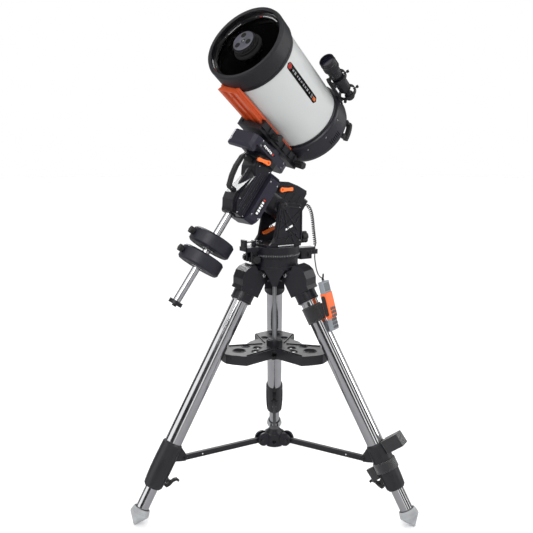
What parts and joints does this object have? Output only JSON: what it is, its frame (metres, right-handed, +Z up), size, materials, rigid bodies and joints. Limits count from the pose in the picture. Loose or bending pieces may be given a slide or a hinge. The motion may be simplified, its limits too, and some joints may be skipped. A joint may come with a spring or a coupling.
{
  "type": "schmidt cassegrain telescope",
  "caption": "Schmidt-Cassegrain telescope on a German equatorial mount and a steel tripod, with counterweights, accessory tray and hand controller.",
  "frame": {"origin": "floor level, at the centre of the footprint of the whole object at rest", "axes": "+Z up; -X is the direction in which the polar axis rises (north); -Y is the side seen in the picture"},
  "size_m": [1.0021, 1.145, 1.9929],
  "materials": {
    "dark_casting": "satin charcoal powder coat on cast alloy",
    "black_casting": "satin black painted alloy",
    "leg_steel": "polished stainless steel",
    "bolt_steel": "bright machined steel",
    "weight_iron": "satin charcoal paint on cast iron",
    "orange_bar": "orange anodised extrusion",
    "orange_lever": "moulded orange plastic",
    "knob_plastic": "black moulded plastic",
    "tray_plastic": "black moulded plastic with a fine grain",
    "tube_white": "pale pearl-grey paint",
    "silver_alloy": "satin machined alloy",
    "corrector_glass": "coated optical glass",
    "mirror_glass": "aluminised glass mirror",
    "foot_rubber": "grey moulded rubber",
    "strap_fabric": "black hook-and-loop strap",
    "handset_plastic": "orange and grey moulded plastic",
    "cord_rubber": "black rubber sheath",
    "rubber_grip": "black rubber grip"
  },
  "bodies": {
    "tripod": {"tripod_hub": "dark_casting", "hinge_bolts": "bolt_steel", "knuckles": "dark_casting", "leg_tubes": "leg_steel", "leg_clamps": "tray_plastic", "spreader_hub": "dark_casting", "spreader_arms": "tray_plastic", "centre_rod": "bolt_steel", "leg_straps": "strap_fabric", "hand_controller": "handset_plastic", "cord_lower": "cord_rubber"},
    "azimuth": {"azimuth_base": "dark_casting", "fork_cheeks": "dark_casting", "cord_coil": "cord_rubber"},
    "altitude": {"ra_housing": "dark_casting", "cord_plug": "cord_rubber"},
    "ra": {"ra_cover": "dark_casting", "dec_housing": "dark_casting", "carry_handle": "rubber_grip", "weight_shaft": "leg_steel", "shaft_stop": "black_casting"},
    "dec": {"dec_head": "dark_casting", "saddle": "black_casting", "dovetail_bar": "orange_bar", "optical_tube": "tube_white", "front_cell": "black_casting", "corrector_plate": "corrector_glass", "secondary_holder": "black_casting", "rear_cell": "dark_casting", "rear_handle": "rubber_grip", "baffle_tube": "black_casting", "visual_back": "silver_alloy", "finder_bracket": "black_casting", "finder_scope": "black_casting"},
    "az_knob_w": {"azimuth_knob_w": "knob_plastic"},
    "az_knob_e": {"azimuth_knob_e": "knob_plastic"},
    "alt_knob": {"altitude_knob": "knob_plastic"},
    "alt_lock": {"altitude_lock": "orange_lever"},
    "ra_lever": {"ra_clutch": "orange_lever"},
    "dec_lever": {"dec_clutch": "orange_lever"},
    "weight_upper": {"counterweight_upper": "weight_iron"},
    "weight_lower": {"counterweight_lower": "weight_iron"},
    "weight_screw_upper": {"weight_knob_upper": "knob_plastic"},
    "weight_screw_lower": {"weight_knob_lower": "knob_plastic"},
    "jaw": {"saddle_jaw": "black_casting"},
    "jaw_screw_front": {"saddle_knob_front": "knob_plastic"},
    "jaw_screw_rear": {"saddle_knob_rear": "knob_plastic"},
    "mirror": {"primary_mirror": "mirror_glass"},
    "focus": {"focus_knob": "knob_plastic"},
    "tray": {"accessory_tray": "tray_plastic"},
    "tray_nut": {"tray_knob": "knob_plastic"},
    "lower_n": {"lower_leg_n": "leg_steel", "foot_n": "foot_rubber"},
    "lock_n": {"leg_lock_n": "knob_plastic"},
    "lower_w": {"lower_leg_w": "leg_steel", "foot_w": "foot_rubber"},
    "lock_w": {"leg_lock_w": "knob_plastic"},
    "lower_e": {"lower_leg_e": "leg_steel", "foot_e": "foot_rubber"},
    "lock_e": {"leg_lock_e": "knob_plastic"}
  },
  "joints": [
    {"name": "azimuth_turn", "type": "hinge", "parent": "tripod", "child": "azimuth", "pos_m": [0.16085, 0, 0.99997], "axis": [0, 0, 1], "range_deg": [-5, 5]},
    {"name": "az_knob_w_turn", "type": "hinge", "parent": "azimuth", "child": "az_knob_w", "pos_m": [0.05085, -0.022, 1.03197], "axis": [0, 1, 0], "range_deg": [-1180, 1180]},
    {"name": "az_knob_e_turn", "type": "hinge", "parent": "azimuth", "child": "az_knob_e", "pos_m": [0.05085, 0.022, 1.03197], "axis": [0, 1, 0], "range_deg": [-1180, 1180]},
    {"name": "altitude_turn", "type": "hinge", "parent": "azimuth", "child": "altitude", "pos_m": [0.16085, 0, 1.24797], "axis": [0, 1, 0], "range_deg": [-10, 25]},
    {"name": "alt_knob_turn", "type": "hinge", "parent": "azimuth", "child": "alt_knob", "pos_m": [0.26085, 0, 1.10597], "axis": [1, 0, 0], "range_deg": [-1205, 3005]},
    {"name": "alt_lock_turn", "type": "hinge", "parent": "azimuth", "child": "alt_lock", "pos_m": [0.13885, 0.05, 1.12797], "axis": [0, 1, 0], "range_deg": [0, 40]},
    {"name": "ra_turn", "type": "hinge", "parent": "altitude", "child": "ra", "pos_m": [0.03937, 0, 1.34646], "axis": [-0.8192, 0, 0.5736], "range_deg": [-90, 90]},
    {"name": "ra_clutch_turn", "type": "hinge", "parent": "altitude", "child": "ra_lever", "pos_m": [0.15733, -0.0624, 1.31269], "axis": [0, -1, 0], "range_deg": [0, 60]},
    {"name": "dec_turn", "type": "hinge", "parent": "ra", "child": "dec", "pos_m": [0.09673, 0, 1.42838], "axis": [0.5736, 0, 0.8192], "range_deg": [-115, 105]},
    {"name": "dec_clutch_turn", "type": "hinge", "parent": "ra", "child": "dec_lever", "pos_m": [0.08099, -0.0824, 1.41986], "axis": [0, -1, 0], "range_deg": [0, 60]},
    {"name": "weight_upper_slide", "type": "slide", "parent": "ra", "child": "weight_upper", "axis": [0.5736, 0, 0.8192], "range_m": [-0.008, 0.06]},
    {"name": "weight_lower_slide", "type": "slide", "parent": "ra", "child": "weight_lower", "axis": [0.5736, 0, 0.8192], "range_m": [-0.14, 0.008]},
    {"name": "weight_screw_upper_turn", "type": "hinge", "parent": "weight_upper", "child": "weight_screw_upper", "pos_m": [-0.12869, 0, 1.10645], "axis": [-0.8192, 0, 0.5736], "range_deg": [-720, 0]},
    {"name": "weight_screw_lower_turn", "type": "hinge", "parent": "weight_lower", "child": "weight_screw_lower", "pos_m": [-0.17572, 0, 1.03928], "axis": [-0.8192, 0, 0.5736], "range_deg": [-720, 0]},
    {"name": "jaw_slide", "type": "slide", "parent": "dec", "child": "jaw", "axis": [0.2936, -0.9336, -0.2056], "range_m": [0, 0.005]},
    {"name": "jaw_screw_front_turn", "type": "hinge", "parent": "jaw", "child": "jaw_screw_front", "pos_m": [0.10492, -0.08943, 1.5203], "axis": [-0.2936, 0.9336, 0.2056], "range_deg": [0, 1440]},
    {"name": "jaw_screw_rear_turn", "type": "hinge", "parent": "jaw", "child": "jaw_screw_rear", "pos_m": [0.25711, -0.01811, 1.41374], "axis": [-0.2936, 0.9336, 0.2056], "range_deg": [0, 1440]},
    {"name": "mirror_slide", "type": "slide", "parent": "dec", "child": "mirror", "axis": [-0.7647, -0.3584, 0.5355], "range_m": [-0.006, 0.006]},
    {"name": "focus_turn", "type": "hinge", "parent": "dec", "child": "focus", "pos_m": [0.33912, 0.10917, 1.49278], "axis": [-0.7647, -0.3584, 0.5355], "range_deg": [-2880, 2880]},
    {"name": "leg_n_slide", "type": "slide", "parent": "tripod", "child": "lower_n", "axis": [-0.4889, 0, -0.8723], "range_m": [-0.085, 0.25]},
    {"name": "leg_lock_n_turn", "type": "hinge", "parent": "tripod", "child": "lock_n", "pos_m": [-0.33869, 0, 0.15438], "axis": [-0.8723, 0, 0.4889], "range_deg": [0, 100]},
    {"name": "leg_w_slide", "type": "slide", "parent": "tripod", "child": "lower_w", "axis": [0.2445, -0.4234, -0.8723], "range_m": [-0.085, 0.25]},
    {"name": "leg_lock_w_turn", "type": "hinge", "parent": "tripod", "child": "lock_w", "pos_m": [0.41062, -0.43261, 0.15438], "axis": [0.4362, -0.7555, 0.4889], "range_deg": [0, 100]},
    {"name": "leg_e_slide", "type": "slide", "parent": "tripod", "child": "lower_e", "axis": [0.2445, 0.4234, -0.8723], "range_m": [-0.085, 0.25]},
    {"name": "leg_lock_e_turn", "type": "hinge", "parent": "tripod", "child": "lock_e", "pos_m": [0.41062, 0.43261, 0.15438], "axis": [0.4362, 0.7555, 0.4889], "range_deg": [0, 100]},
    {"name": "tray_slide", "type": "slide", "parent": "tripod", "child": "tray", "axis": [0, 0, 1], "range_m": [-0.008, 0]},
    {"name": "tray_nut_turn", "type": "hinge", "parent": "tray", "child": "tray_nut", "pos_m": [0.16085, 0, 0.60297], "axis": [0, 0, 1], "range_deg": [-1440, 0]}
  ],
  "couplings": [
    {"joint": "az_knob_w_turn", "follows": "azimuth_turn", "ratio": 235},
    {"joint": "az_knob_e_turn", "follows": "azimuth_turn", "ratio": 235},
    {"joint": "alt_knob_turn", "follows": "altitude_turn", "ratio": 120},
    {"joint": "jaw_screw_front_turn", "follows": "jaw_slide", "rad_per_m": 5020},
    {"joint": "jaw_screw_rear_turn", "follows": "jaw_slide", "rad_per_m": 5020},
    {"joint": "focus_turn", "follows": "mirror_slide", "rad_per_m": 8370},
    {"joint": "tray_nut_turn", "follows": "tray_slide", "rad_per_m": 3138}
  ]
}
